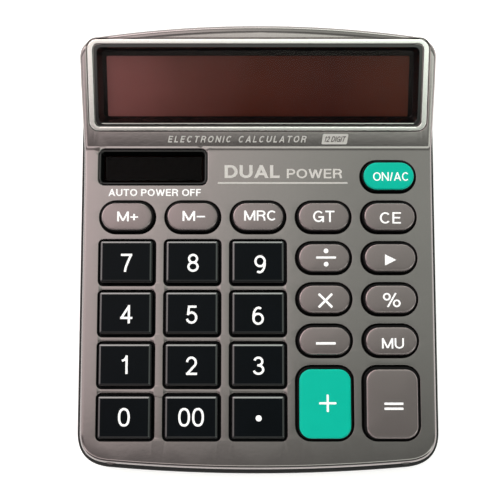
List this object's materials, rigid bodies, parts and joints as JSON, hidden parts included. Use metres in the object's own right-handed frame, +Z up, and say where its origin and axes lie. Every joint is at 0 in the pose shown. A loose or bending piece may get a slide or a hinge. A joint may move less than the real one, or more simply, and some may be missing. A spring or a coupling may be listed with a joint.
{
  "type": "desk calculator",
  "caption": "Desktop calculator with a raised tilted display hood, a solar cell window, sprung keys, a double-height plus and equals key, and a hinged battery door underneath.",
  "frame": {"origin": "centre of the footprint, on the surface that the calculator stands on", "axes": "+X to the user's right, +Y from the user to the display, +Z up"},
  "size_m": [0.12, 0.148, 0.0397],
  "materials": {
    "case_satin": "satin",
    "base_plastic": "satin",
    "chrome_trim": "polished",
    "black_gloss": "gloss",
    "smoked_window": "gloss",
    "lcd_glass": "gloss",
    "lcd_reflector": "satin",
    "ribbon_film": "satin",
    "solar_glass": "gloss",
    "silicone": "matte",
    "board_laminate": "satin",
    "epoxy": "satin",
    "battery_label": "satin",
    "contact_nickel": "satin",
    "rubber_foot": "matte",
    "screw_steel": "satin",
    "key_green": "satin",
    "key_black": "gloss",
    "key_grey": "satin",
    "print_white": "satin"
  },
  "bodies": {
    "case": {"upper_case": "case_satin", "lower_case": "base_plastic", "display_bezel": "chrome_trim", "display_frame": "black_gloss", "display_window": "smoked_window", "lcd_panel": "lcd_glass", "lcd_backplate": "lcd_reflector", "lcd_ribbon": "ribbon_film", "solar_frame": "black_gloss", "solar_window": "smoked_window", "solar_cell": "solar_glass", "rubber_keypad": "silicone", "circuit_board": "board_laminate", "chip_cover": "epoxy", "capacitor": "epoxy", "battery": "battery_label", "contact_plate": "contact_nickel", "contact_spring": "contact_nickel", "foot_1": "rubber_foot", "foot_2": "rubber_foot", "foot_3": "rubber_foot", "foot_4": "rubber_foot", "case_screw_1": "screw_steel", "case_screw_2": "screw_steel", "case_screw_3": "screw_steel", "case_screw_4": "screw_steel", "case_screw_5": "screw_steel", "case_screw_6": "screw_steel", "board_screw_1": "screw_steel", "board_screw_2": "screw_steel", "board_screw_3": "screw_steel", "board_screw_4": "screw_steel"},
    "battery_door": {"battery_door": "base_plastic"},
    "key_on_ac": {"key_on_ac": "key_green"},
    "key_7": {"key_7": "key_black"},
    "key_8": {"key_8": "key_black"},
    "key_9": {"key_9": "key_black"},
    "key_4": {"key_4": "key_black"},
    "key_5": {"key_5": "key_black"},
    "key_6": {"key_6": "key_black"},
    "key_1": {"key_1": "key_black"},
    "key_2": {"key_2": "key_black"},
    "key_3": {"key_3": "key_black"},
    "key_0": {"key_0": "key_black"},
    "key_00": {"key_00": "key_black"},
    "key_point": {"key_point": "key_black"},
    "key_m_plus": {"key_m_plus": "key_grey"},
    "key_m_minus": {"key_m_minus": "key_grey"},
    "key_mrc": {"key_mrc": "key_grey"},
    "key_gt": {"key_gt": "key_grey"},
    "key_ce": {"key_ce": "key_grey"},
    "key_divide": {"key_divide": "key_grey"},
    "key_shift": {"key_shift": "key_grey"},
    "key_multiply": {"key_multiply": "key_grey"},
    "key_percent": {"key_percent": "key_grey"},
    "key_minus": {"key_minus": "key_grey"},
    "key_mu": {"key_mu": "key_grey"},
    "key_plus": {"key_plus": "key_green"},
    "key_equals": {"key_equals": "key_grey"}
  },
  "joints": [
    {"name": "press_on_ac", "type": "slide", "parent": "case", "child": "key_on_ac", "axis": [0, 0.0785, -0.9969], "range_m": [0, 0.0015], "stiffness_N_per_m": 400, "springref_m": -0.0006, "deforming": ["rubber_keypad"]},
    {"name": "press_7", "type": "slide", "parent": "case", "child": "key_7", "axis": [0, 0.0785, -0.9969], "range_m": [0, 0.0015], "stiffness_N_per_m": 400, "springref_m": -0.0006, "deforming": ["rubber_keypad"]},
    {"name": "press_8", "type": "slide", "parent": "case", "child": "key_8", "axis": [0, 0.0785, -0.9969], "range_m": [0, 0.0015], "stiffness_N_per_m": 400, "springref_m": -0.0006, "deforming": ["rubber_keypad"]},
    {"name": "press_9", "type": "slide", "parent": "case", "child": "key_9", "axis": [0, 0.0785, -0.9969], "range_m": [0, 0.0015], "stiffness_N_per_m": 400, "springref_m": -0.0006, "deforming": ["rubber_keypad"]},
    {"name": "press_4", "type": "slide", "parent": "case", "child": "key_4", "axis": [0, 0.0785, -0.9969], "range_m": [0, 0.0015], "stiffness_N_per_m": 400, "springref_m": -0.0006, "deforming": ["rubber_keypad"]},
    {"name": "press_5", "type": "slide", "parent": "case", "child": "key_5", "axis": [0, 0.0785, -0.9969], "range_m": [0, 0.0015], "stiffness_N_per_m": 400, "springref_m": -0.0006, "deforming": ["rubber_keypad"]},
    {"name": "press_6", "type": "slide", "parent": "case", "child": "key_6", "axis": [0, 0.0785, -0.9969], "range_m": [0, 0.0015], "stiffness_N_per_m": 400, "springref_m": -0.0006, "deforming": ["rubber_keypad"]},
    {"name": "press_1", "type": "slide", "parent": "case", "child": "key_1", "axis": [0, 0.0785, -0.9969], "range_m": [0, 0.0015], "stiffness_N_per_m": 400, "springref_m": -0.0006, "deforming": ["rubber_keypad"]},
    {"name": "press_2", "type": "slide", "parent": "case", "child": "key_2", "axis": [0, 0.0785, -0.9969], "range_m": [0, 0.0015], "stiffness_N_per_m": 400, "springref_m": -0.0006, "deforming": ["rubber_keypad"]},
    {"name": "press_3", "type": "slide", "parent": "case", "child": "key_3", "axis": [0, 0.0785, -0.9969], "range_m": [0, 0.0015], "stiffness_N_per_m": 400, "springref_m": -0.0006, "deforming": ["rubber_keypad"]},
    {"name": "press_0", "type": "slide", "parent": "case", "child": "key_0", "axis": [0, 0.0785, -0.9969], "range_m": [0, 0.0015], "stiffness_N_per_m": 400, "springref_m": -0.0006, "deforming": ["rubber_keypad"]},
    {"name": "press_00", "type": "slide", "parent": "case", "child": "key_00", "axis": [0, 0.0785, -0.9969], "range_m": [0, 0.0015], "stiffness_N_per_m": 400, "springref_m": -0.0006, "deforming": ["rubber_keypad"]},
    {"name": "press_point", "type": "slide", "parent": "case", "child": "key_point", "axis": [0, 0.0785, -0.9969], "range_m": [0, 0.0015], "stiffness_N_per_m": 400, "springref_m": -0.0006, "deforming": ["rubber_keypad"]},
    {"name": "press_m_plus", "type": "slide", "parent": "case", "child": "key_m_plus", "axis": [0, 0.0785, -0.9969], "range_m": [0, 0.0015], "stiffness_N_per_m": 400, "springref_m": -0.0006, "deforming": ["rubber_keypad"]},
    {"name": "press_m_minus", "type": "slide", "parent": "case", "child": "key_m_minus", "axis": [0, 0.0785, -0.9969], "range_m": [0, 0.0015], "stiffness_N_per_m": 400, "springref_m": -0.0006, "deforming": ["rubber_keypad"]},
    {"name": "press_mrc", "type": "slide", "parent": "case", "child": "key_mrc", "axis": [0, 0.0785, -0.9969], "range_m": [0, 0.0015], "stiffness_N_per_m": 400, "springref_m": -0.0006, "deforming": ["rubber_keypad"]},
    {"name": "press_gt", "type": "slide", "parent": "case", "child": "key_gt", "axis": [0, 0.0785, -0.9969], "range_m": [0, 0.0015], "stiffness_N_per_m": 400, "springref_m": -0.0006, "deforming": ["rubber_keypad"]},
    {"name": "press_ce", "type": "slide", "parent": "case", "child": "key_ce", "axis": [0, 0.0785, -0.9969], "range_m": [0, 0.0015], "stiffness_N_per_m": 400, "springref_m": -0.0006, "deforming": ["rubber_keypad"]},
    {"name": "press_divide", "type": "slide", "parent": "case", "child": "key_divide", "axis": [0, 0.0785, -0.9969], "range_m": [0, 0.0015], "stiffness_N_per_m": 400, "springref_m": -0.0006, "deforming": ["rubber_keypad"]},
    {"name": "press_shift", "type": "slide", "parent": "case", "child": "key_shift", "axis": [0, 0.0785, -0.9969], "range_m": [0, 0.0015], "stiffness_N_per_m": 400, "springref_m": -0.0006, "deforming": ["rubber_keypad"]},
    {"name": "press_multiply", "type": "slide", "parent": "case", "child": "key_multiply", "axis": [0, 0.0785, -0.9969], "range_m": [0, 0.0015], "stiffness_N_per_m": 400, "springref_m": -0.0006, "deforming": ["rubber_keypad"]},
    {"name": "press_percent", "type": "slide", "parent": "case", "child": "key_percent", "axis": [0, 0.0785, -0.9969], "range_m": [0, 0.0015], "stiffness_N_per_m": 400, "springref_m": -0.0006, "deforming": ["rubber_keypad"]},
    {"name": "press_minus", "type": "slide", "parent": "case", "child": "key_minus", "axis": [0, 0.0785, -0.9969], "range_m": [0, 0.0015], "stiffness_N_per_m": 400, "springref_m": -0.0006, "deforming": ["rubber_keypad"]},
    {"name": "press_mu", "type": "slide", "parent": "case", "child": "key_mu", "axis": [0, 0.0785, -0.9969], "range_m": [0, 0.0015], "stiffness_N_per_m": 400, "springref_m": -0.0006, "deforming": ["rubber_keypad"]},
    {"name": "press_plus", "type": "slide", "parent": "case", "child": "key_plus", "axis": [0, 0.0785, -0.9969], "range_m": [0, 0.0015], "stiffness_N_per_m": 400, "springref_m": -0.0006, "deforming": ["rubber_keypad"]},
    {"name": "press_equals", "type": "slide", "parent": "case", "child": "key_equals", "axis": [0, 0.0785, -0.9969], "range_m": [0, 0.0015], "stiffness_N_per_m": 400, "springref_m": -0.0006, "deforming": ["rubber_keypad"]},
    {"name": "battery_door_hinge", "type": "hinge", "parent": "case", "child": "battery_door", "pos_m": [0, 0.04422, 0.0012], "axis": [-1, 0, 0], "range_deg": [0, 75]}
  ]
}
